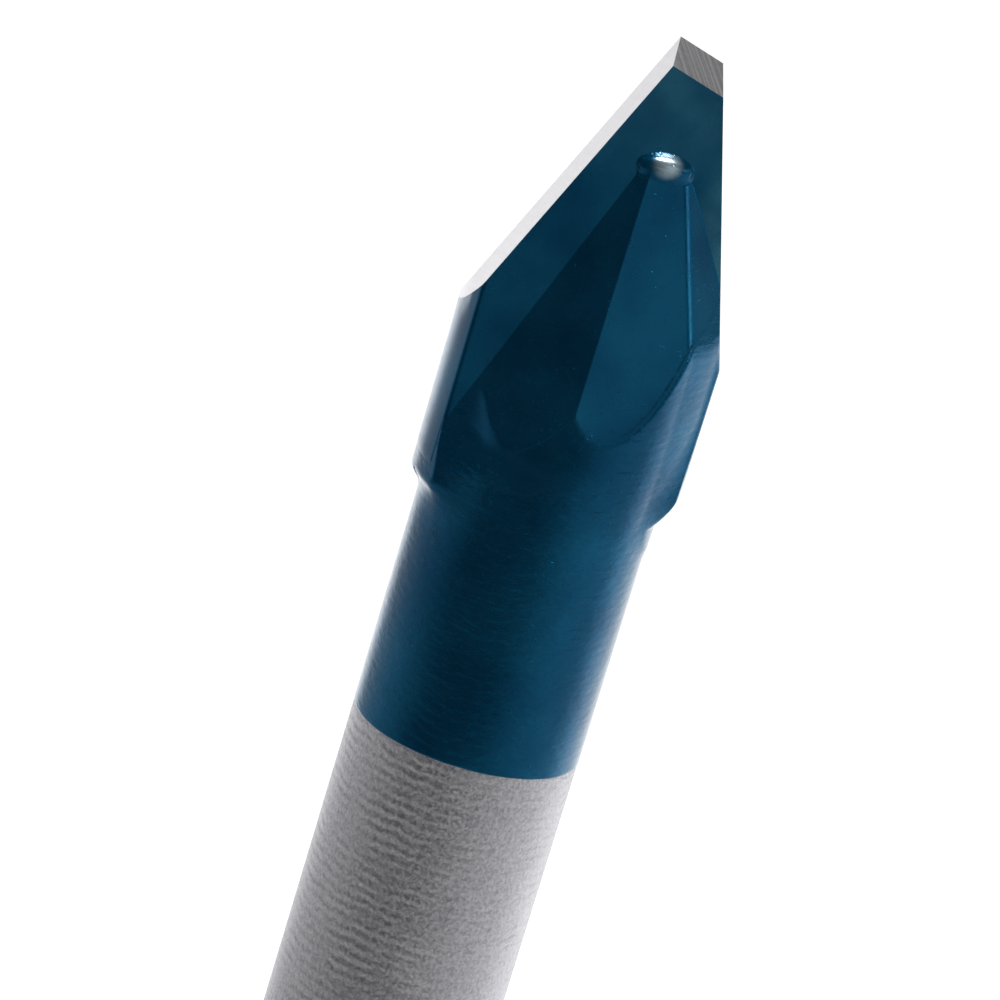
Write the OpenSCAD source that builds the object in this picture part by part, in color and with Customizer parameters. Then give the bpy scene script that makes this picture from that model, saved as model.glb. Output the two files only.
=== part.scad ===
// Glass and tile drill bit: a round steel shank with a carbide spear blade brazed into a slot in its end.
// Millimetres. The bit stands on its tail end, with Z up along its axis and the point at the top.
// The blade is a flat plate across the X axis; its two broad faces look along -Y and +Y.

/* [Shank] */
// length from the tail end to the point
overall_length = 80; // [60:1:120]
// diameter of the round shank, all the way to the slot
shank_diameter = 7.0; // [6.6:0.1:7.4]
// chamfer round the tail end
tail_chamfer = 0.5; // [0.2:0.1:1]

/* [Blade] */
// how far the blade's rounded side lands stand out beyond the shank, at its widest
blade_overhang = 0.55; // [0.45:0.01:0.7]
// how far the plate sits off the axis toward its short side
blade_offset = 0.05; // [0:0.01:0.08]
// thickness of the carbide plate
blade_thickness = 2.4; // [2:0.05:2.8]
// length of the plate from its foot to the point
blade_length = 14.4; // [13.6:0.1:16]
// how much the radius over the side lands falls from the corners to the foot
back_taper = 0.1; // [0:0.02:0.2]
// chamfer on the plate's two bottom corners
foot_chamfer = 0.2; // [0.1:0.05:0.3]

/* [Point] */
// angle of the long cutting edge to the axis
long_edge_angle = 24.8; // [22:0.2:28]
// angle of the short side's edge to the axis
short_edge_angle = 16.1; // [14:0.1:18]
// slope of the small facet at the very tip, from square to the axis
tip_slope = 19; // [15:1:24]
// clearance angle ground behind every edge
relief_angle = 10.6; // [8:0.2:13]
// how far the highest point of the tip stands off the axis
chisel_offset = 0.4; // [0.3:0.05:0.6]
// how far from the axis the short side's edge is at its foot, on the blade's face
short_corner_x = 3.88; // [3.8:0.02:3.96]
// how far below the point that is measured
short_corner_drop = 9.1; // [8.8:0.1:9.4]

/* [Jaws] */
// turn of the left ground flat from the blade's face
left_flat_turn = 42; // [38:1:46]
// turn of the right ground flat from the blade's face
right_flat_turn = 27; // [23:1:31]
// lean of the left flat to the axis
left_flat_lean = 12.7; // [11.5:0.1:14]
// lean of the right flat to the axis
right_flat_lean = 11.3; // [10.4:0.1:12.6]
// how far below the point the two flats would run together on the blade's face
flats_meet_drop = 1.9; // [1.5:0.1:2.5]
// how far below the point the jaws are cut off square
jaw_top_drop = 3.65; // [3.2:0.05:4.2]
// how far below the point the left flat starts to run out
left_flat_drop = 11.4; // [10.9:0.1:11.9]
// how far below the point the right flat starts to run out
right_flat_drop = 9.9; // [9.4:0.1:10.4]
// how much the steel beside the blade draws in toward the point, to clear the hole
jaw_taper = 0.06; // [0.02:0.01:0.1]
// radius that the grinding wheel leaves at the foot of each flat
runout_radius = 1.5; // [1:0.1:2]

/* [Braze] */
// gap between the plate and the slot, filled with braze
braze_gap = 0.08; // [0.05:0.01:0.12]
// size of the bead along the jaws
bead_size = 0.12; // [0.08:0.01:0.2]
// height of the bead on top of each jaw
top_bead = 0.45; // [0.4:0.05:0.7]
// width of the bead under the blade's overhanging corners
foot_bead = 0.18; // [0.1:0.01:0.2]
// height of the bead under the blade's overhanging corners
foot_bead_height = 0.8; // [0.5:0.1:1.2]

/* [Hidden] */
$fn = 96;
reach = 30;
shank_radius = shank_diameter / 2;
cut_radius = shank_radius + blade_overhang;
half = blade_thickness / 2;
tip_z = overall_length;
foot_z = tip_z - blade_length;
meet_z = tip_z - flats_meet_drop;
jaw_top_z = tip_z - jaw_top_drop;
// the straight round shank ends a little below the slot
grip_end_z = foot_z - 1.25 * foot_bead_height;
foot_radius = cut_radius - back_taper;
// where the shank's round surface comes out of the blade's face
seam_x = sqrt(shank_radius * shank_radius - half * half);
// where the blade's nearer side land meets its face, at the foot
land_x = sqrt(foot_radius * foot_radius - half * half) - blade_offset;
// the upright beads stop part of the way across the bare strip between the two
bead_x = seam_x + 0.6 * (land_x - seam_x);
// each upright bead slopes from there back into the shank
bead_run = 1.6 * blade_overhang;

function unit(v) = v / norm(v);
// outward normal of a jaw flat, turned from -Y toward +X and leaning back
function flat_normal(turn, lean) = [sin(turn) * cos(lean), -cos(turn) * cos(lean), sin(lean)];

// All the space on the side that the normal n points to, starting at the point p.
module beyond(p, n) {
    u = unit(n);
    translate(p)
        rotate([0, acos(u[2]), atan2(u[1], u[0])])
            translate([-reach, -reach, 0])
                cube([2 * reach, 2 * reach, 2 * reach]);
}

// What the grinding wheel takes away for one flat: a plane, and the wheel's edge at its foot.
module flat_cut(turn, lean, drop) {
    start_z = tip_z - drop;
    out = half * cos(turn) + (meet_z - start_z) * tan(lean);
    rotate([0, 0, turn])
        translate([0, -out, start_z])
            rotate([-lean, 0, 0]) {
                translate([-reach / 2, -reach, 0])
                    cube([reach, reach, reach]);
                translate([0, -runout_radius, 0])
                    rotate([0, 90, 0])
                        cylinder(r = runout_radius, h = reach, center = true);
            }
}

// The shank as turned and ground, before it is slotted.
module shank_form() {
    difference() {
        union() {
            cylinder(r1 = shank_radius - tail_chamfer, r2 = shank_radius, h = tail_chamfer);
            translate([0, 0, tail_chamfer])
                cylinder(r = shank_radius, h = grip_end_z - tail_chamfer);
            translate([0, 0, grip_end_z])
                cylinder(r1 = shank_radius, r2 = shank_radius - jaw_taper, h = jaw_top_z - grip_end_z);
        }
        for (side = [0, 180])
            rotate([0, 0, side]) {
                flat_cut(-left_flat_turn, left_flat_lean, left_flat_drop);
                flat_cut(right_flat_turn, right_flat_lean, right_flat_drop);
            }
    }
}

// The sawn slot that takes the plate and its braze.
module slot_space() {
    wide = blade_thickness + 2 * braze_gap;
    translate([-reach / 2, -wide / 2, foot_z - braze_gap])
        cube([reach, wide, reach]);
}

// The part of the slot that the plate itself fills.
module plate_space() {
    translate([-reach / 2, -half, foot_z])
        cube([reach, blade_thickness, reach]);
}

module shank() {
    color("silver")
        difference() {
            shank_form();
            slot_space();
        }
}

// The carbide plate: rounded side lands, then three ground planes that make the point.
module carbide_tip() {
    long_n = [-cos(long_edge_angle) * cos(relief_angle), sin(relief_angle),
              sin(long_edge_angle) * cos(relief_angle)];
    tip_n = [sin(tip_slope) * cos(relief_angle), -sin(relief_angle), cos(tip_slope) * cos(relief_angle)];
    short_n = [cos(short_edge_angle) * cos(relief_angle), -sin(relief_angle),
               sin(short_edge_angle) * cos(relief_angle)];
    peak = [chisel_offset, half, tip_z];
    color("slategray")
        difference() {
            intersection() {
                translate([blade_offset, 0, foot_z]) {
                    cylinder(r1 = foot_radius - foot_chamfer, r2 = foot_radius, h = foot_chamfer);
                    translate([0, 0, foot_chamfer])
                        cylinder(r1 = foot_radius, r2 = cut_radius, h = blade_length);
                }
                translate([-reach / 2, -half, foot_z])
                    cube([reach, blade_thickness, reach]);
            }
            beyond(peak, long_n);
            beyond(peak, tip_n);
            beyond([short_corner_x, -half, tip_z - short_corner_drop], short_n);
        }
}

// Space near one jaw that the bead may fill: below sloping planes from the flats to the blade's face.
module bead_limit() {
    for (f = [[-left_flat_turn, left_flat_lean], [right_flat_turn, right_flat_lean]]) {
        n = flat_normal(f[0], f[1]) + [0, -1, 0];
        beyond([0, -half, meet_z] + bead_size * n / (n * n), n);
    }
    beyond([0, -half, jaw_top_z + top_bead], [0, -1, 1]);
}

// Beads of one jaw: along its flats and top, and up both sides where the plate stands out of the shank.
module jaw_beads() {
    // this half-width stays inside the round shank all the way to the bead's outer side
    inner_x = sqrt(pow(shank_radius, 2) - pow(half + top_bead, 2)) - bead_size;
    difference() {
        union() {
            translate([-inner_x, -half - top_bead, foot_z])
                cube([2 * inner_x, top_bead, blade_length]);
            for (side = [0, 1])
                mirror([side, 0, 0])
                    translate([0, 0, foot_z + foot_chamfer])
                        linear_extrude(height = blade_length)
                            polygon([[bead_x, -half], [bead_x - bead_run, -half - 0.66 * bead_run],
                                     [bead_x - bead_run, -half]]);
        }
        bead_limit();
    }
}

// The braze: a thin lining in the slot, with beads where it ran out along the edges.
module braze_joint() {
    color("darkkhaki")
        difference() {
            union() {
                intersection() {
                    shank_form();
                    slot_space();
                }
                for (side = [0, 180])
                    rotate([0, 0, side])
                        jaw_beads();
                intersection() {
                    translate([0, 0, foot_z - foot_bead_height])
                        cylinder(r1 = shank_radius - 0.3 * foot_bead, r2 = shank_radius + foot_bead,
                                 h = foot_bead_height);
                    translate([-reach / 2, -half, foot_z - 2 * foot_bead_height])
                        cube([reach, blade_thickness, 2 * foot_bead_height]);
                }
            }
            shank();
            plate_space();
        }
}

shank();
carbide_tip();
braze_joint();
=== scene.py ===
# %% [markdown]
# # A glass and tile drill bit
# A round steel shank has a flat carbide plate brazed into a slot in its end.
# The head and neck were dipped in blue lacquer, and the point was ground bare afterwards.
# The lesson loads the solid model as a fixed frame and dresses it with two finer meshes and their finishes:
# the carbide plate, and the shank together with its braze, because one film of lacquer covers both.

# %% Load the frame
import math
import bmesh
import bpy
import numpy as np
from mathutils import Matrix, Vector


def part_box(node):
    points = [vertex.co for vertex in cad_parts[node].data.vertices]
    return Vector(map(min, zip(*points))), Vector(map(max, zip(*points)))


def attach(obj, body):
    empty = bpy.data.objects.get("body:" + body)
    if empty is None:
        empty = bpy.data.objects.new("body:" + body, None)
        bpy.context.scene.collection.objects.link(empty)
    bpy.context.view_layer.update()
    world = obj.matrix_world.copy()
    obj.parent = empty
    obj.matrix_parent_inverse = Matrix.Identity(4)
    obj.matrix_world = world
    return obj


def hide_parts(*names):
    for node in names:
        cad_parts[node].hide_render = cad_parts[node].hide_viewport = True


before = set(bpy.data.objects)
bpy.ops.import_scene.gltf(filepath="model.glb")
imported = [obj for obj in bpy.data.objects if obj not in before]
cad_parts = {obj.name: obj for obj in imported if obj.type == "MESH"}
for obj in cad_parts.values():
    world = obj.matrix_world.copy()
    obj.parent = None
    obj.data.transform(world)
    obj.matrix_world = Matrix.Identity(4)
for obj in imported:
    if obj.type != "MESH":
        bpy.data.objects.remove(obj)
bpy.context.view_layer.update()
MM = 0.001

# %% [markdown]
# ## The sizes that the meshes share
# A finer mesh has to sit where its solid sits, so the sizes come first, in millimetres.
# The heights are read from the frame where a solid gives them.
# Only the plate's foot is raised a little above the solid's, to where the photograph shows it.

# %% Sizes
blade_lo, blade_hi = [np.array(c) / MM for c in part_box("carbide_tip")]
shank_hi = np.array(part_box("shank")[1]) / MM
tip_z = float(blade_hi[2])
foot_raise = 0.4
foot_z = float(blade_lo[2]) + foot_raise
half_plate = float(blade_hi[1])
jaw_top_z = float(shank_hi[2])
shank_radius = float(shank_hi[0])
lacquered_length = 21.97
lacquer_end_z = tip_z - lacquered_length
print("tip", tip_z, "foot", foot_z, "jaw top", jaw_top_z)
print("half plate", half_plate, "shank radius", shank_radius)

# %% [markdown]
# ## The camera
# The photograph looks down on the head from a little to the left, with a long lens, and the bit leans.
# The camera is placed by its viewing direction, a turn about that direction, and the point it looks at.

# %% Camera
view_turn = math.radians(15.0)
view_drop = math.radians(18.33)
view_roll = math.radians(16.922)
aim = Vector((-0.997, 0.267, 65.197)) * MM
camera_distance = 225.0 * MM
sensor_width = 36.0
photo_width_pixels, photo_focal_pixels = 1000, 7609.5
forward = Vector((math.sin(view_turn) * math.cos(view_drop),
                  math.cos(view_turn) * math.cos(view_drop), -math.sin(view_drop)))
right = Vector((math.cos(view_turn), -math.sin(view_turn), 0))
up = right.cross(forward)
camera_x = math.cos(view_roll) * right + math.sin(view_roll) * up
camera_y = -math.sin(view_roll) * right + math.cos(view_roll) * up
pose = Matrix((camera_x, camera_y, -forward)).transposed().to_4x4()
pose.translation = aim - forward * camera_distance
camera = bpy.data.objects.new("camera", bpy.data.cameras.new("camera"))
bpy.context.scene.collection.objects.link(camera)
camera.matrix_world = pose
camera.data.sensor_width = sensor_width
camera.data.lens = photo_focal_pixels / photo_width_pixels * sensor_width
camera.data.clip_start = 0.01
bpy.context.scene.camera = camera
print("camera at", [round(v / MM, 1) for v in pose.translation], "lens", round(camera.data.lens, 1))

# %% [markdown]
# ## Helpers for materials
# A material is a small graph of nodes. These helpers keep each line short:
# one adds a node with its settings, one feeds a socket from a link or a number, and two do arithmetic.

# %% Node helpers
def add_node(tree, kind, **settings):
    node = tree.nodes.new(kind)
    for name, value in settings.items():
        setattr(node, name, value)
    return node


def feed(tree, target, source):
    if hasattr(source, "is_output"):
        tree.links.new(source, target)
    else:
        target.default_value = source


def reckon(tree, operation, *values):
    node = add_node(tree, "ShaderNodeMath", operation=operation)
    for socket, value in zip(node.inputs, values):
        feed(tree, socket, value)
    return node.outputs[0]


def reckon_vector(tree, operation, first, second):
    node = add_node(tree, "ShaderNodeVectorMath", operation=operation)
    feed(tree, node.inputs[0], first)
    feed(tree, node.inputs[1], second)
    return node.outputs["Value" if operation in ("DOT_PRODUCT", "DISTANCE") else "Vector"]


print("node helpers ready")

# %% [markdown]
# ## Helpers for patterns
# Mottling, grain and wear come from noise that is stretched, cut off and used to mix two colours or values.
# Places are counted in millimetres of the bit itself, so a pattern has the same scale in every material.

# %% Pattern helpers
def ramp(tree, value, low, high, out_low=0.0, out_high=1.0, smooth=True):
    node = add_node(tree, "ShaderNodeMapRange", interpolation_type="SMOOTHSTEP" if smooth else "LINEAR")
    for socket, number in zip(node.inputs, (value, low, high, out_low, out_high)):
        feed(tree, socket, number)
    return node.outputs[0]


def blend_colours(tree, share, first, second):
    node = add_node(tree, "ShaderNodeMix", data_type="RGBA")
    sockets = [s for s in node.inputs if s.type == "RGBA"]
    feed(tree, node.inputs["Factor"], share)
    feed(tree, sockets[0], first)
    feed(tree, sockets[1], second)
    return [s for s in node.outputs if s.type == "RGBA"][0]


def blend_values(tree, share, first, second):
    node = add_node(tree, "ShaderNodeMix", data_type="FLOAT")
    for label, value in (("Factor", share), ("A", first), ("B", second)):
        feed(tree, node.inputs[label], value)
    return node.outputs[0]


def noise(tree, place, scale, detail=2.0, roughness=0.5):
    node = add_node(tree, "ShaderNodeTexNoise")
    feed(tree, node.inputs["Vector"], place)
    node.inputs["Scale"].default_value = scale
    node.inputs["Detail"].default_value = detail
    node.inputs["Roughness"].default_value = roughness
    return node.outputs["Fac"]


def millimetres(tree):
    place = add_node(tree, "ShaderNodeTexCoord").outputs["Object"]
    return reckon_vector(tree, "MULTIPLY", place, (1 / MM,) * 3)


print("pattern helpers ready")

# %% [markdown]
# ## Helpers for node groups
# An effect that several materials share is built once, as a group with named sockets, and placed in each.

# %% Group helpers
FLOAT, COLOUR = "NodeSocketFloat", "NodeSocketColor"


def make_group(name, inputs, outputs):
    group = bpy.data.node_groups.new(name, "ShaderNodeTree")
    for kind, sockets in (("INPUT", inputs), ("OUTPUT", outputs)):
        for label, socket_type in sockets:
            group.interface.new_socket(label, in_out=kind, socket_type=socket_type)
    return group, group.nodes.new("NodeGroupInput"), group.nodes.new("NodeGroupOutput")


def place_group(tree, group, **values):
    node = add_node(tree, "ShaderNodeGroup", node_tree=group)
    for label, value in values.items():
        feed(tree, node.inputs[label.replace("_", " ")], value)
    return node


print("group helpers ready")

# %% [markdown]
# ## The lacquer, a node group
# The head was dipped, so the blue film is a little uneven: deeper in some places and thinner in others.
# It also holds fine dust specks.
# Steel, carbide and braze all carry this film, so its colour and its surface height are one group.

# %% Lacquer group
lacquer_group, given, put = make_group(
    "lacquer film",
    [("Deep", COLOUR), ("Thin", COLOUR), ("Specks", FLOAT)],
    [("Colour", COLOUR), ("Height", FLOAT), ("Roughness", FLOAT)])
place = millimetres(lacquer_group)
pooling = noise(lacquer_group, place, 0.35, 2.0)
share = ramp(lacquer_group, pooling, 0.3, 0.7)
feed(lacquer_group, put.inputs["Colour"],
     blend_colours(lacquer_group, share, given.outputs["Deep"], given.outputs["Thin"]))
waves = noise(lacquer_group, place, 0.9, 1.0)
dust = ramp(lacquer_group, noise(lacquer_group, place, 9.0, 0.0), 0.74, 0.8)
dust = reckon(lacquer_group, "MULTIPLY", dust, given.outputs["Specks"])
height = reckon(lacquer_group, "ADD", waves, dust)
feed(lacquer_group, put.inputs["Height"], height)
feed(lacquer_group, put.inputs["Roughness"],
     ramp(lacquer_group, noise(lacquer_group, place, 3.0, 3.0), 0.3, 0.7, 0.2, 0.28))
print("group made:", lacquer_group.name)

# %% [markdown]
# ## Machining lines, a node group
# A lathe leaves rings and a grinding wheel leaves straight streaks.
# Both are waves across the cut that wander a little and come and go, over a fine grain.
# The group takes the direction across the lines and how many of them there are in a millimetre.

# %% Machining group
lines_group, given, put = make_group(
    "machining lines",
    [("Across", "NodeSocketVector"), ("Per mm", FLOAT), ("Wander", FLOAT)],
    [("Line", FLOAT), ("Streak", FLOAT), ("Grain", FLOAT)])
place = millimetres(lines_group)
across = reckon_vector(lines_group, "DOT_PRODUCT", place, given.outputs["Across"])
count = reckon(lines_group, "MULTIPLY", across, given.outputs["Per mm"])
drift = noise(lines_group, reckon_vector(lines_group, "MULTIPLY", place, (1.3, 1.3, 0.5)), 1.0, 3.0)
phase = reckon(lines_group, "MULTIPLY_ADD", drift, given.outputs["Wander"], count)
wave = reckon(lines_group, "SINE", reckon(lines_group, "MULTIPLY", phase, 2 * math.pi))
strength = ramp(lines_group, noise(lines_group, place, 1.1, 3.0), 0.3, 0.7, 0.15, 1.0)
feed(lines_group, put.inputs["Line"], reckon(lines_group, "MULTIPLY", wave, strength))
row = add_node(lines_group, "ShaderNodeCombineXYZ")
feed(lines_group, row.inputs[0], count)
along = reckon_vector(lines_group, "MULTIPLY", place, (0.12, 0.12, 0.12))
streak_place = reckon_vector(lines_group, "ADD", row.outputs[0], along)
feed(lines_group, put.inputs["Streak"], noise(lines_group, streak_place, 1.0, 2.0))
feed(lines_group, put.inputs["Grain"], noise(lines_group, place, 9.0, 4.0, 0.65))
print("group made:", lines_group.name)

# %% [markdown]
# ## What every finish shares
# Each finish is one Principled surface, and its relief is a bump of a few hundredths of a millimetre at most.
# The lacquer is a tinted metal under a clear coat: light passes the film and comes back off the metal.

# %% Material helpers
deep_blue = (0.002, 0.085, 0.19, 1)
thin_blue = (0.006, 0.13, 0.26, 1)
film_metal, coat = 0.8, 1.0


def new_material(name):
    material = bpy.data.materials.new(name)
    material.use_nodes = True
    return material, material.node_tree, material.node_tree.nodes["Principled BSDF"]


def add_bump(tree, surface, height, depth):
    bump = add_node(tree, "ShaderNodeBump")
    bump.inputs["Strength"].default_value = 1.0
    bump.inputs["Distance"].default_value = depth * MM
    feed(tree, bump.inputs["Height"], height)
    feed(tree, surface.inputs["Normal"], bump.outputs["Normal"])


def set_lacquer_gloss(surface):
    surface.inputs["Coat Roughness"].default_value = 0.06
    surface.inputs["Coat IOR"].default_value = 1.16
    surface.inputs["Specular IOR Level"].default_value = 0.05


print("blue of the film where it is deep and where it is thin:", deep_blue[:3], thin_blue[:3])

# %% [markdown]
# ## The lacquered steel of the shank
# One bar of steel is bare below and lacquered above, so one material holds both, split at a height.
# The film's lower edge is where the dip stopped: level and crisp, with the slightest wander.
# Turning rings a third of a millimetre apart run round the bar and show faintly in the film too.
# Where the surface lies inside the turned radius it was ground, so there the rings fade out.

# %% Film edge and rings
rings_per_mm = 3.0
steel, tree, surface = new_material("lacquered steel")
place = millimetres(tree)
level = add_node(tree, "ShaderNodeSeparateXYZ")
feed(tree, level.inputs[0], place)
edge = reckon(tree, "MULTIPLY_ADD", noise(tree, place, 0.8, 2.0), 0.06, level.outputs["Z"])
film = ramp(tree, edge, lacquer_end_z + 0.02, lacquer_end_z + 0.05)
lacquer = place_group(tree, lacquer_group, Deep=deep_blue, Thin=thin_blue, Specks=0.8)
rings = place_group(tree, lines_group, Across=(0, 0, 1), Per_mm=rings_per_mm, Wander=1.2)
outward = add_node(tree, "ShaderNodeVectorMath", operation="LENGTH")
feed(tree, outward.inputs[0], reckon_vector(tree, "MULTIPLY", place, (1, 1, 0)))
turned = ramp(tree, outward.outputs["Value"], shank_radius - 0.12, shank_radius - 0.05)
ring = reckon(tree, "MULTIPLY", rings.outputs["Line"], turned)
print("film ends at mm:", round(lacquer_end_z, 2), "rings in a millimetre:", rings_per_mm)

# %% [markdown]
# ## Colour and gloss of the shank
# The bare steel is satin and mottled. The film is glossy, and the crest of each drop of braze is painted
# paler, a painted highlight.

# %% Shank colours
bare_dark, bare_light = (0.54, 0.54, 0.58, 1), (0.86, 0.86, 0.90, 1)
# painted highlight: the pale blue painted on the crest of each drop of braze
highlight_blue = (0.6, 0.78, 0.86, 1)
# the drops of braze: place along the plate at the front and at the back, then where the painted highlight on
# each crest lies
drop_x = (0.45, -0.05)
highlight_out, highlight_rise = 0.25, 0.55
mottle = ramp(tree, noise(tree, place, 9.0, 4.0, 0.75), 0.35, 0.65)
bare = blend_colours(tree, mottle, bare_dark, bare_light)
highlight_distances = [reckon_vector(tree, "DISTANCE", place, (x, side * (half_plate + highlight_out), jaw_top_z + highlight_rise))
          for x, side in zip(drop_x, (-1, 1))]
# painted highlight: the film turns pale blue close to each crest
crest_highlight = ramp(tree, reckon(tree, "MINIMUM", *highlight_distances), 0.15, 0.55, 1.0, 0.0)
film_colour = blend_colours(tree, crest_highlight, lacquer.outputs["Colour"], highlight_blue)
feed(tree, surface.inputs["Base Color"], blend_colours(tree, film, bare, film_colour))
feed(tree, surface.inputs["Metallic"], ramp(tree, film, 0.0, 1.0, 1.0, film_metal, smooth=False))
feed(tree, surface.inputs["Coat Weight"], reckon(tree, "MULTIPLY", film, coat))
bare_rough = ramp(tree, rings.outputs["Grain"], 0.3, 0.7, 0.32, 0.5)
feed(tree, surface.inputs["Roughness"], blend_values(tree, film, bare_rough, lacquer.outputs["Roughness"]))
set_lacquer_gloss(surface)
print("drops of braze at x, front and back:", drop_x)

# %% [markdown]
# ## Relief of the shank
# The bare steel shows its rings and grain. The film has slow waves, and fine marks of the bar show in it.

# %% Shank relief
steel_relief = 0.03
bare_height = reckon(tree, "MULTIPLY_ADD", ring, 0.5, rings.outputs["Grain"])
film_height = reckon(tree, "MULTIPLY", lacquer.outputs["Height"], 0.2)
wavelets = noise(tree, reckon_vector(tree, "MULTIPLY", place, (2.0, 2.0, 5.5)), 1.0, 2.0)
wavelets = reckon(tree, "MULTIPLY", wavelets, turned)
film_height = reckon(tree, "MULTIPLY_ADD", wavelets, 0.9, film_height)
film_height = reckon(tree, "MULTIPLY_ADD", ring, 0.07, film_height)
add_bump(tree, surface, blend_values(tree, film, bare_height, film_height), steel_relief)
print("material made:", steel.name)

# %% [markdown]
# ## The lacquered carbide
# The plate's faces and rounded sides carry the film.
# It is painted paler in patches beside one edge of each face and near the point, a painted sheen.

# %% Lacquered carbide
# the pale blue of the painted sheen, and the depth of the plate's relief
sheen_blue, plate_relief = (0.07, 0.3, 0.44, 1), 0.006
coated, tree, surface = new_material("lacquered carbide")
lacquer = place_group(tree, lacquer_group, Deep=deep_blue, Thin=thin_blue, Specks=0.4)
place = millimetres(tree)
level = add_node(tree, "ShaderNodeSeparateXYZ")
feed(tree, level.inputs[0], place)
jaw_side = reckon(tree, "MULTIPLY", level.outputs["X"], reckon(tree, "SIGN", level.outputs["Y"]))
# painted sheen: paler patches beside one edge of each face and near the point
near_edge = ramp(tree, jaw_side, -1.2, -3.0)
near_point = ramp(tree, level.outputs["Z"], tip_z - 4.5, tip_z - 1.0, 0.0, 0.45)
sheen_share = reckon(tree, "MULTIPLY", near_edge, ramp(tree, level.outputs["Z"], tip_z - 13.0, tip_z - 7.0))
sheen_share = reckon(tree, "MAXIMUM", sheen_share, near_point)
patchy = ramp(tree, noise(tree, place, 0.7, 3.0), 0.35, 0.65, 0.5, 1.0)
sheen_share = reckon(tree, "MULTIPLY", sheen_share, patchy)
feed(tree, surface.inputs["Base Color"],
     blend_colours(tree, sheen_share, lacquer.outputs["Colour"], sheen_blue))
feed(tree, surface.inputs["Roughness"], lacquer.outputs["Roughness"])
add_bump(tree, surface, lacquer.outputs["Height"], plate_relief)
surface.inputs["Coat Weight"].default_value = coat
surface.inputs["Metallic"].default_value = film_metal
set_lacquer_gloss(surface)
print("material made:", coated.name)

# %% [markdown]
# ## The bare ground carbide
# The three planes of the point were ground after the lacquer.
# Ground carbide is smooth and pale, with streaks across the plate's thickness left by the wheel.
# The small facet at the tip is coarser and darker, so it has a finish of its own.

# %% Ground carbide
def ground_finish(name, per_mm, dark, light, rough, depth):
    material, tree, surface = new_material(name)
    streaks = place_group(tree, lines_group, Across=(0.95, 0, 0.3), Per_mm=per_mm, Wander=1.0)
    tone = ramp(tree, streaks.outputs["Streak"], 0.3, 0.7)
    feed(tree, surface.inputs["Base Color"], blend_colours(tree, tone, dark, light))
    surface.inputs["Metallic"].default_value = 1.0
    feed(tree, surface.inputs["Roughness"], ramp(tree, streaks.outputs["Grain"], 0.3, 0.7, *rough))
    add_bump(tree, surface, streaks.outputs["Streak"], depth)
    return material


ground = ground_finish("ground carbide", per_mm=30.0, rough=(0.14, 0.22), depth=0.0008,
                       dark=(0.70, 0.69, 0.73, 1), light=(0.78, 0.77, 0.81, 1))
facet = ground_finish("ground tip", per_mm=16.0, rough=(0.25, 0.4), depth=0.006,
                      dark=(0.42, 0.41, 0.43, 1), light=(0.74, 0.73, 0.75, 1))
print("materials made:", ground.name, facet.name)

# %% [markdown]
# ## The carbide plate
# The plate is cut from sintered carbide, gets its rounded side lands, and only later its ground point.
# So the mesh is made in that order too: a blank is lofted from rounded sections, then three planes cut it.
# Cutting last keeps the ground edges knife sharp, while the lacquered edges stay softly rounded.
# First come the side lands, which widen a little from the foot up and have broken bottom corners.

# %% Side lands
blade_overhang = 0.55
cut_radius = shank_radius + blade_overhang
back_taper = 0.1
plate_offset = 0.05
# how much each bottom corner is broken, inward and upward, by its side: right, then left
corner_breaks = {1: (0.43, 0.9), -1: (0.14, 0.35)}


def land_radius(z, sign, break_share):
    """Radius of a side land at a height; each bottom corner is broken, the right one more."""
    radius = cut_radius - back_taper * (1 - (z - foot_z) / (tip_z - foot_z))
    broken, tall = corner_breaks[sign]
    lost = np.clip(1 - (z - foot_z) / tall, 0, 1) ** 1.4
    return radius - broken * lost * break_share


print("land radius at the foot:", [round(float(land_radius(foot_z, sign, 1.0)), 2) for sign in (1, -1)])

# %% [markdown]
# ## One section of the plate
# A section is four quarters, each from a broad face round a soft corner to the middle of a side land.

# %% Plate sections
corner_soft, face_step = 0.09, 0.03


def quarter_section(z, sign, front, inset):
    """Points from a broad face round its soft corner to the middle of a side land."""
    y = half_plate - inset
    radius = float(land_radius(z, sign, 1.0)) - inset
    centre = plate_offset
    start = math.asin(y / radius)
    corner = np.array((centre + sign * radius * math.cos(start), y))
    on_face = corner - (sign * corner_soft, 0)
    inner = on_face - (sign * face_step, 0)
    turn = start - corner_soft / radius
    on_land = np.array((centre + sign * radius * math.cos(turn), radius * math.sin(turn)))
    points = [inner]
    for t in np.linspace(0, 1, 7):
        points.append((1 - t) ** 2 * on_face + 2 * t * (1 - t) * corner + t * t * on_land)
    for a in np.linspace(turn - 0.01, 0, 6):
        points.append(np.array((centre + sign * radius * math.cos(a), radius * math.sin(a))))
    return [(p[0], p[1] * front) for p in points]


def plate_loop(z, inset=0.0):
    right_front = quarter_section(z, 1, -1, inset)
    right_back = quarter_section(z, 1, 1, inset)[-2::-1]
    left_back = quarter_section(z, -1, 1, inset)
    left_front = quarter_section(z, -1, -1, inset)[-2::-1]
    return right_front + right_back + left_back + left_front


print("points in one section of the plate:", len(plate_loop(foot_z)))

# %% [markdown]
# ## Lofting
# Sections stacked one above the other and joined by quads make a closed skin.
# The same loft serves the plate, the cutter for its slot and the shank.

# %% Loft the blank
blank_above = 2


def loft(name, loops):
    """Joins closed loops of points, one above the other, into a closed mesh."""
    count = len(loops[0])
    points = [p for loop in loops for p in loop]
    faces = []
    for row in range(len(loops) - 1):
        a, b = row * count, (row + 1) * count
        for i in range(count):
            j = (i + 1) % count
            faces.append((a + i, a + j, b + j, b + i))
    faces.append(tuple(range(count - 1, -1, -1)))
    faces.append(tuple(range(len(points) - count, len(points))))
    mesh = bpy.data.meshes.new(name)
    mesh.from_pydata([tuple(v * MM for v in p) for p in points], [], faces)
    return mesh


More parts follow.
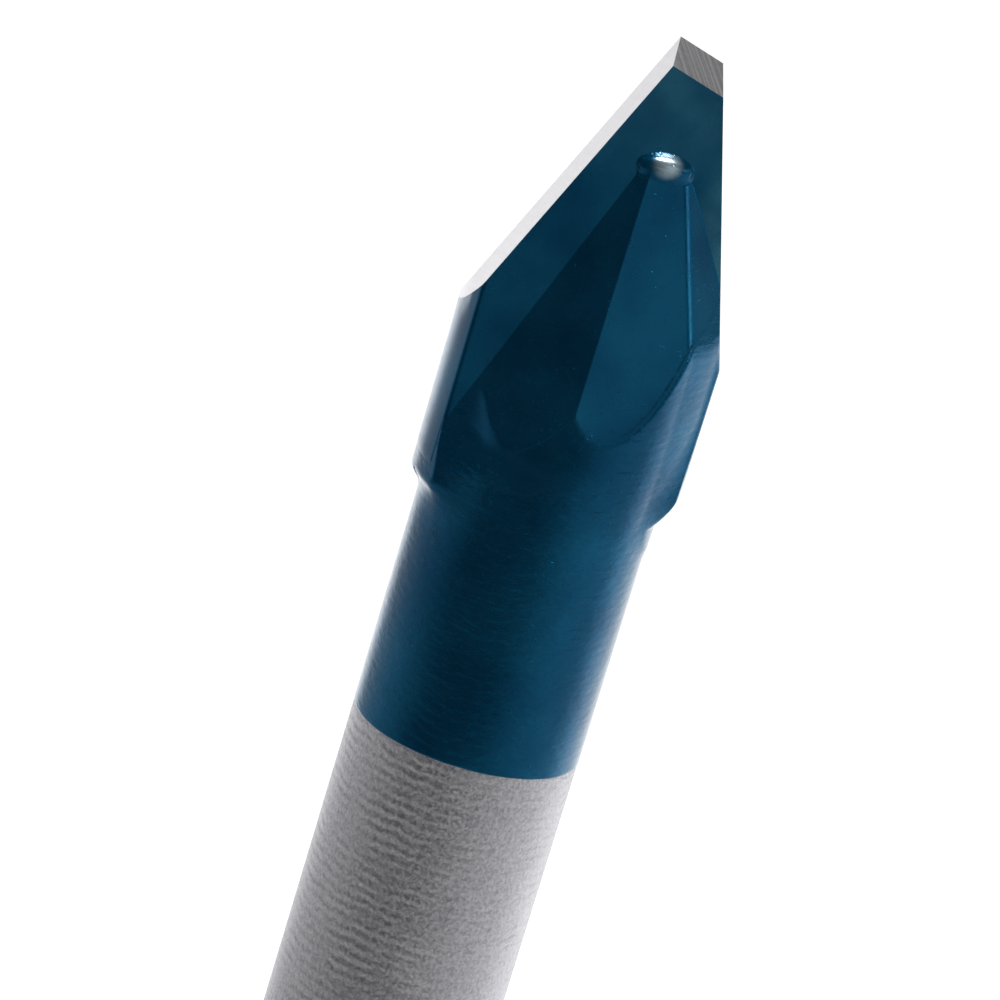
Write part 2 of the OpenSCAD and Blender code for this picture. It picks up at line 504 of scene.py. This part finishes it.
def plate_blank(name, top_z, inset=0.0):
    heights = [foot_z + inset + d for d in (0, 0.1, 0.25, 0.4, 0.6, 0.85, 1.5)]
    heights += list(np.linspace(foot_z + 2.5, top_z, 14))
    return loft(name, [[(x, y, z) for x, y in plate_loop(z, inset)] for z in heights])


blade_mesh = plate_blank("carbide_blade", tip_z + blank_above)
print("faces of the blank:", len(blade_mesh.polygons))

# %% [markdown]
# ## Grinding the point
# The point is not symmetrical: a long cutting edge on the left, a steep short side on the right,
# and a small facet across the tip. Each plane leans back by the same clearance angle.

# %% Planes of the point
clearance = math.radians(10.6)
long_edge, short_edge, tip_slope = math.radians(24.8), math.radians(16.1), math.radians(19.0)
peak = Vector((0.4, half_plate, tip_z))
short_foot = Vector((3.88, -half_plate, tip_z - 9.1))
lean, back = math.cos(clearance), math.sin(clearance)
ground_planes = [
    (peak, Vector((-math.cos(long_edge) * lean, back, math.sin(long_edge) * lean))),
    (peak, Vector((math.sin(tip_slope) * lean, -back, math.cos(tip_slope) * lean))),
    (short_foot, Vector((math.cos(short_edge) * lean, -back, math.sin(short_edge) * lean)))]
print("planes of the point:", len(ground_planes))

# %% [markdown]
# ## Cutting the blank
# `bisect_plane` cuts the mesh and the hole is filled with a face that gets the bare, ground finish.

# %% Grind the plate
def add_piece(name, mesh, *materials):
    piece = bpy.data.objects.new(name, mesh)
    bpy.context.scene.collection.objects.link(piece)
    for material in materials:
        mesh.materials.append(material)
    return piece


work = bmesh.new()
work.from_mesh(blade_mesh)
for finish, (spot, normal) in zip((1, 2, 1), ground_planes):
    cut = bmesh.ops.bisect_plane(work, geom=work.verts[:] + work.edges[:] + work.faces[:],
                                 plane_co=spot * MM, plane_no=normal, clear_outer=True, dist=1e-8)
    rim = [e for e in cut["geom_cut"] if isinstance(e, bmesh.types.BMEdge)]
    made = bmesh.ops.contextual_create(work, geom=rim)["faces"]
    for face in made:
        face.material_index = finish
bmesh.ops.recalc_face_normals(work, faces=work.faces)
for face in work.faces:
    face.smooth = True
bmesh.ops.triangulate(work, faces=[f for f in work.faces if len(f.verts) > 4])
work.to_mesh(blade_mesh)
work.free()
blade_mesh.set_sharp_from_angle(angle=math.radians(32))
blade = add_piece("carbide_blade", blade_mesh, coated, ground, facet)
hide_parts("carbide_tip")
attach(blade, "root")
bare_faces = sum(p.material_index > 0 for p in blade_mesh.polygons)
print("plate faces:", len(blade_mesh.polygons), "ground:", bare_faces)

# %% [markdown]
# ## The shank with its braze
# The round bar and the plate were joined with braze, which ran out into soft fillets along both sides.
# Then three flats were ground on each jaw, through steel and braze alike, and lacquer rounded what was left.
# A drop of braze stands on the end of each jaw.
# Booleans leave hard edges, so this surface is described by distances: rounded joins are then simple sums.
# The round bar comes first. Below the lacquer it is thinner by the film.

# %% Soft joins and the bar
tail_chamfer = 0.5
jaw_taper, grip_end_z = 0.06, foot_z - 1.0
film_thickness, film_edge = 0.02, 0.05


def soft_union(a, b, size):
    h = np.clip(0.5 + 0.5 * (b - a) / size, 0, 1)
    return b + (a - b) * h - size * h * (1 - h)


def soft_cut(a, b, size):
    return -soft_union(-a, -b, size)


def bar_radius(z):
    tail = np.clip(tail_chamfer - z, 0, None)
    taper = jaw_taper * np.clip((z - grip_end_z) / (jaw_top_z - grip_end_z), 0, None)
    bare = film_thickness * np.clip((lacquer_end_z + film_edge - z) / film_edge, 0, 1)
    return shank_radius - tail - taper - bare


bare_and_coated = [round(float(bar_radius(z)), 3) for z in (lacquer_end_z - 1, grip_end_z)]
print("bar radius, bare and coated:", bare_and_coated)

# %% [markdown]
# ## Jaws that are not quite round
# Each jaw is relieved on its leading side and full on its trailing side.
# Right at the trailing side braze fills out the corner up to the plate's edge.

# %% Swell of the jaws
jaw_cam, jaw_relief, cam_start, cam_rise = 0.2, 0.08, 0.2, 1.8
fill_fade, fill_from_degrees, fill_over_degrees = 0.8, 48, 25


def swell(x, y, z):
    """How far each jaw departs from the round bar."""
    turn = np.arctan2(-np.sign(y) * x, np.abs(y))
    risen = np.clip((z - foot_z - cam_start) / cam_rise, 0, 1)
    cam = (jaw_cam * np.sin(turn) - jaw_relief) * risen * risen * (3 - 2 * risen)
    up_to = np.maximum(z, foot_z)
    right_land = land_radius(up_to, 1, 1.0) + plate_offset
    left_land = land_radius(up_to, -1, 1.0) - plate_offset
    land = np.where(x > 0, right_land, left_land)
    overhang = np.maximum(land - film_thickness - shank_radius - cam, 0)
    fade = np.clip(1 - (foot_z - z) / fill_fade, 0, 1) ** 2
    corner = np.clip((np.degrees(turn) - fill_from_degrees) / fill_over_degrees, 0, 1) ** 1.5
    return cam + overhang * fade * corner


print("swell and relief of a jaw, mm:", jaw_cam, jaw_relief)

# %% [markdown]
# ## Flats and plate
# A flat is a plane. The plate is the space inside its faces, its side lands, its foot and the ground planes.

# %% Distances to flats and plate
# the third flat of the back jaw is deeper, so that the jaw stays behind the long edge
back_clear = 1.3
# each flat: turn, lean, height where its plane would cross the axis, rounding of its edge,
# and how much lower that height is on the back jaw
flats = [(math.radians(-40.5), math.radians(14.3), tip_z + 0.68, 0.02, 0.0),
         (math.radians(5.2), math.radians(14.6), tip_z + 1.88, 0.02, 0.0),
         (math.radians(37.1), math.radians(19.7), tip_z + 1.42, 0.12, back_clear)]


def flat_distance(x, y, z, turn, lean, axis_z):
    """How far a point lies outside one ground flat, a plane that would cross the axis at axis_z."""
    outward = x * math.sin(turn) - y * math.cos(turn)
    return outward * math.cos(lean) + (z - axis_z) * math.sin(lean)


def ground_distance(x, y, z):
    return np.max([(x - spot.x) * normal.x + (y - spot.y) * normal.y + (z - spot.z) * normal.z
                   for spot, normal in ground_planes], axis=0)


def plate_distance(x, y, z, sunk=0.0):
    radius = np.where(x > plate_offset, land_radius(z, 1, 1.0), land_radius(z, -1, 1.0))
    parts = [np.abs(y) - half_plate, np.hypot(x - plate_offset, y) - radius, foot_z - z,
             ground_distance(x, y, z)]
    inside = np.minimum(np.max(parts, axis=0), 0)
    outside = np.sqrt(sum(np.maximum(p, 0) ** 2 for p in parts))
    return inside + outside + sunk


print("flats on each jaw:", len(flats))

# %% [markdown]
# ## Drops of braze and the whole body
# Bar and plate are joined with a fillet, then the flats and the jaws' ends are cut, and the drops are added.
# Last comes the plate's own shape, sunk by a hair, so that film and plate meet softly.
# Outside the plain bar nothing stands past the plate's lands, and nothing at all past its ground planes.

# %% Distance to the body
bar_above, top_bead, bead_tilt = 0.5, 0.42, math.radians(50)
braze_round, foot_round, film_round, drop_round = 0.3, 1.3, 0.05, 0.12
fillet_levels = (foot_z + 0.1, foot_z + 3.4)
film_sunk = 0.012
drop_wide, drop_deep, drop_tall, drop_rise = 0.85, 0.32, 0.42, 0.35


def drop_distance(x, y, z):
    """The drop of braze that stands on the end of each jaw, against the plate."""
    u = (x - np.where(y < 0, *drop_x)) / drop_wide
    v = (np.abs(y) - half_plate) / drop_deep
    w = (z - jaw_top_z - drop_rise) / drop_tall
    return (np.sqrt(u * u + v * v + w * w) - 1) * drop_deep


def body_distance(x, y, z):
    bar = np.maximum(np.hypot(x, y) - bar_radius(z) - swell(x, y, z), z - jaw_top_z - bar_above)
    fillet = np.interp(z, fillet_levels, (foot_round, braze_round))
    body = soft_union(bar, plate_distance(x, y, z), fillet)
    for side in (1, -1):
        for turn, lean, axis_z, edge_round, back_lower in flats:
            lower = back_lower if side < 0 else 0.0
            past_flat = flat_distance(side * x, side * y, z, turn, lean, axis_z - lower)
            body = soft_cut(body, past_flat, edge_round)
        rise, out = z - jaw_top_z - top_bead, side * y + half_plate
        past_top = rise * math.sin(bead_tilt) - out * math.cos(bead_tilt)
        body = soft_cut(body, past_top, drop_round)
    body = soft_union(body, drop_distance(x, y, z), drop_round)
    body = soft_union(body, plate_distance(x, y, z, film_sunk), film_round)
    lands = np.where(x > plate_offset, land_radius(z, 1, 1.0), land_radius(z, -1, 0.0))
    past_land = np.hypot(x - plate_offset, y) - lands + film_sunk
    body = np.maximum(body, np.minimum(past_land, np.hypot(x, y) - bar_radius(z)))
    return np.maximum(body, ground_distance(x, y, z) + film_sunk)


print("fillet of braze at the foot and above, mm:", foot_round, braze_round)

# %% [markdown]
# ## Rows and directions
# The shank becomes a grid of points: rows at many heights, and directions round the axis in each row.
# They stand closer together where edges run, so that the edges come out crisp.

# %% Rows and directions
# where an edge runs up the jaw: its direction and its spread in degrees, and how much closer the steps get
edge_runs = ((6.5, 5, 1.6), (36, 11, 0.8), (68, 7, 1.6))
quarter_steps = 116


def directions():
    """Directions round the axis, closer together where an edge runs up the jaw, changing spacing gently."""
    fine = np.linspace(0, 90, 2000)
    crowding = 1.0
    for middle, spread, extra in edge_runs:
        crowding = crowding + extra * np.exp(-((fine - middle) / spread) ** 2)
    running = np.cumsum(crowding) - crowding[0]
    quarter = np.radians(np.interp(np.linspace(0, running[-1], quarter_steps), running, fine))
    half_turn = np.concatenate([quarter, math.pi - quarter[-2:0:-1]])
    return np.concatenate([half_turn, half_turn + math.pi])


def levels():
    """Heights of the rows, closer together at the film's edge, beside the plate and at the jaws' ends."""
    film_steps = np.array((-0.3, -0.02, 0, 0.012, 0.025, 0.038, 0.05, 0.07, 0.4))
    return np.concatenate([
        [0, 0.25, 0.49, 0.51, 0.7],
        np.linspace(2, lacquer_end_z - 1.5, 16),
        lacquer_end_z + film_steps,
        np.linspace(lacquer_end_z + 1.5, foot_z - 3.2, 5),
        np.arange(foot_z - 3, foot_z - 1.2, 0.15),
        np.arange(foot_z - 1.2, foot_z + 4.6, 0.1),
        np.arange(foot_z + 4.6, jaw_top_z - 0.6, 0.13),
        np.arange(jaw_top_z - 0.6, jaw_top_z + 1.0, 0.045)])


turns, heights = directions(), levels()
print("directions:", len(turns), "rows:", len(heights))

# %% [markdown]
# ## Growing the surface
# For every height and every direction from the axis, halving a step finds where the surface lies.

# %% Grow the surface
angle, z = np.meshgrid(turns, heights)
east, north = np.sin(angle), -np.cos(angle)
inmost, outmost, halvings = 0.3, 4.6, 34
near, far = np.full(angle.shape, inmost), np.full(angle.shape, outmost)
for halving in range(halvings):
    middle = (near + far) / 2
    inside = body_distance(middle * east, middle * north, z) < 0
    near, far = np.where(inside, middle, near), np.where(inside, far, middle)
loops = [list(zip(r * e, r * n, h)) for r, e, n, h in zip(near, east, north, z)]
shank_mesh = loft("lacquered_shank", loops)
print("shank grid:", angle.shape, "widest mm:", round(float(near.max()), 3))

# %% [markdown]
# ## Keeping one part
# Where film and plate almost touch, cutting the slot leaves loose slivers.
# Walking from face to face over shared edges finds the joined parts, and only the largest is kept.

# %% Largest part
weld_distance = 0.001


def keep_largest_part(mesh):
    """Deletes every joined part of a mesh but the largest."""
    work = bmesh.new()
    work.from_mesh(mesh)
    bmesh.ops.remove_doubles(work, verts=work.verts[:], dist=weld_distance * MM)
    parts = []
    for face in work.faces:
        face.tag = False
    for start in work.faces:
        if start.tag:
            continue
        start.tag = True
        part, queue = [], [start]
        while queue:
            face = queue.pop()
            part.append(face)
            joined = [edge.link_faces for edge in face.edges if len(edge.link_faces) == 2]
            for neighbour in [other for pair in joined for other in pair]:
                if not neighbour.tag:
                    neighbour.tag = True
                    queue.append(neighbour)
        parts.append(part)
    parts.sort(key=len)
    bmesh.ops.delete(work, geom=[face for part in parts[:-1] for face in part], context="FACES")
    work.to_mesh(mesh)
    work.free()
    print("slivers deleted:", len(parts) - 1)


print("points are welded within mm:", weld_distance)

# %% [markdown]
# ## Cutting the slot
# The plate sits in a slot, so its own shape, a hair smaller, is cut out of the shank with a boolean.

# %% Cut the slot
slot_inset, slot_above = 0.006, 6
shank_piece = add_piece("lacquered_shank", shank_mesh, steel)
cutter = add_piece("slot_cutter", plate_blank("slot_cutter", tip_z + slot_above, slot_inset))
slot = shank_piece.modifiers.new("slot", "BOOLEAN")
slot.operation, slot.solver, slot.object = "DIFFERENCE", "EXACT", cutter
with_slot = shank_piece.evaluated_get(bpy.context.evaluated_depsgraph_get())
finished = bpy.data.meshes.new_from_object(with_slot)
shank_piece.modifiers.clear()
shank_piece.data = finished
finished.name = "lacquered_shank"
bpy.data.objects.remove(cutter)
keep_largest_part(finished)
finished.polygons.foreach_set("use_smooth", [True] * len(finished.polygons))
finished.set_sharp_from_angle(angle=math.radians(40))
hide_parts("shank", "braze_joint")
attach(shank_piece, "root")
print("shank faces after the slot:", len(finished.polygons))

# %% [markdown]
# ## The floor
# A pale floor carries the bit. In front a soft dark patch is painted on it, a painted shade, because the
# glossy film mirrors that part.
# Behind the bit it is lifted towards white, both where it is seen and where it is mirrored.

# %% Floor
floor_mesh = bpy.data.meshes.new("floor")
reach = 3.0
corners = [(-reach, -reach, 0), (reach, -reach, 0), (reach, reach, 0), (-reach, reach, 0)]
floor_mesh.from_pydata(corners, [], [(0, 1, 2, 3)])
floor = bpy.data.objects.new("floor", floor_mesh)
bpy.context.scene.collection.objects.link(floor)
paper, tree, surface = new_material("pale floor")
surface.inputs["Roughness"].default_value = 0.9
surface.inputs["Emission Color"].default_value = (1, 1, 1, 1)
ray = add_node(tree, "ShaderNodeLightPath")
seen = reckon(tree, "MAXIMUM", ray.outputs["Is Camera Ray"], ray.outputs["Is Glossy Ray"])
seen = reckon(tree, "MAXIMUM", seen, ray.outputs["Is Transmission Ray"])
spot = add_node(tree, "ShaderNodeTexCoord").outputs["Object"]
# painted shade: a soft dark patch on the floor in front, for the glossy film to mirror
shade_grey, pale_grey = (0.05, 0.05, 0.05, 1), (0.85, 0.85, 0.85, 1)
patch_middle, patch_inner, patch_outer = (-0.16, -0.27, 0), 0.14, 0.42
patch = reckon_vector(tree, "DISTANCE", spot, patch_middle)
tone = ramp(tree, patch, patch_inner, patch_outer)
feed(tree, surface.inputs["Base Color"], blend_colours(tree, tone, shade_grey, pale_grey))
ahead = reckon_vector(tree, "DOT_PRODUCT", spot, (math.sin(view_turn), math.cos(view_turn), 0))
aside = reckon_vector(tree, "DOT_PRODUCT", spot, (0.89, 0.455, 0))
lift = reckon(tree, "MULTIPLY", ramp(tree, ahead, 0.0, 0.1), ramp(tree, aside, -0.02, 0.04, 0.0, 0.75))
feed(tree, surface.inputs["Emission Strength"], reckon(tree, "MULTIPLY", seen, lift))
floor_mesh.materials.append(paper)
print("floor made, metres across:", 2 * reach)

# %% [markdown]
# ## The lamps
# Broad weak boxes shade the round surfaces evenly, and a small strong one above adds bright highlights.
# Each box is given by the brightness of its face, so a larger box gives more light.

# %% Lamps and world
head_middle = Vector((0, 0, 0.068))
world_level = 0.045


def soft_box(name, place, width, height, radiance):
    lamp = bpy.data.lights.new(name, "AREA")
    lamp.shape = "RECTANGLE"
    lamp.size, lamp.size_y = width, height
    lamp.energy = radiance * math.pi * width * height
    box = bpy.data.objects.new(name, lamp)
    bpy.context.scene.collection.objects.link(box)
    box.location = place
    box.rotation_euler = (head_middle - box.location).to_track_quat("-Z", "Y").to_euler()
    box.visible_camera = False


soft_box("front light", (0.25, -0.54, 0.17), 0.26, 0.26, 0.33)
soft_box("side light", (0.62, -0.1, 0.2), 0.55, 0.3, 0.32)
soft_box("edge light", (0.48, -0.35, 0.18), 0.1, 0.12, 2.2)
soft_box("left light", (-0.35, 0.25, 0.35), 0.45, 0.45, 0.8)
soft_box("back light", (0.35, 0.55, 0.36), 0.3, 0.3, 0.33)
soft_box("top light", (0.04, -0.22, 0.57), 0.2, 0.2, 19.0)
world = bpy.data.worlds.new("studio")
bpy.context.scene.world = world
world.use_nodes = True
world.node_tree.nodes["Background"].inputs["Color"].default_value = (1, 1, 1, 1)
world.node_tree.nodes["Background"].inputs["Strength"].default_value = world_level
bpy.context.scene.view_settings.view_transform = "Standard"
print("lamps:", len(bpy.data.lights))
